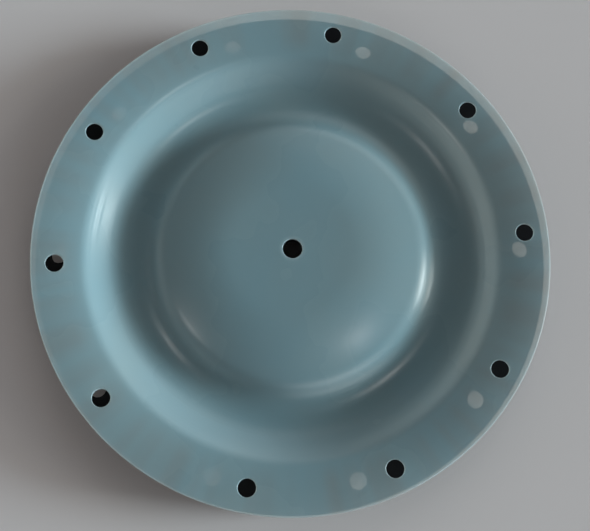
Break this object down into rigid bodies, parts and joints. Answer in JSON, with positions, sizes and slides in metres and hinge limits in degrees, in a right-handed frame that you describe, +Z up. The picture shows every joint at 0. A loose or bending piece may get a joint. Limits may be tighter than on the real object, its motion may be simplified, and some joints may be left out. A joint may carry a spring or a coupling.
{
  "type": "pump diaphragm",
  "caption": "Round two-ply pump diaphragm: a thin milky overlay with a bolt flange, a round trough and a crowned centre, lying on a black rubber back-up ply.",
  "frame": {"origin": "under the centre hole, on the surface that the trough of the back-up ply stands on", "axes": "+Z up along the centre hole, towards the liquid side; +X through the middle of a wide gap between the overlay's bolt holes"},
  "size_m": [0.3, 0.3, 0.0269],
  "materials": {
    "milky_fluoropolymer": "satin, see-through milky white that looks pale blue-grey over the black ply",
    "black_rubber": "matte moulded rubber"
  },
  "bodies": {
    "root": {"overlay_ply": "milky_fluoropolymer", "backup_ply": "black_rubber"}
  },
  "joints": []
}
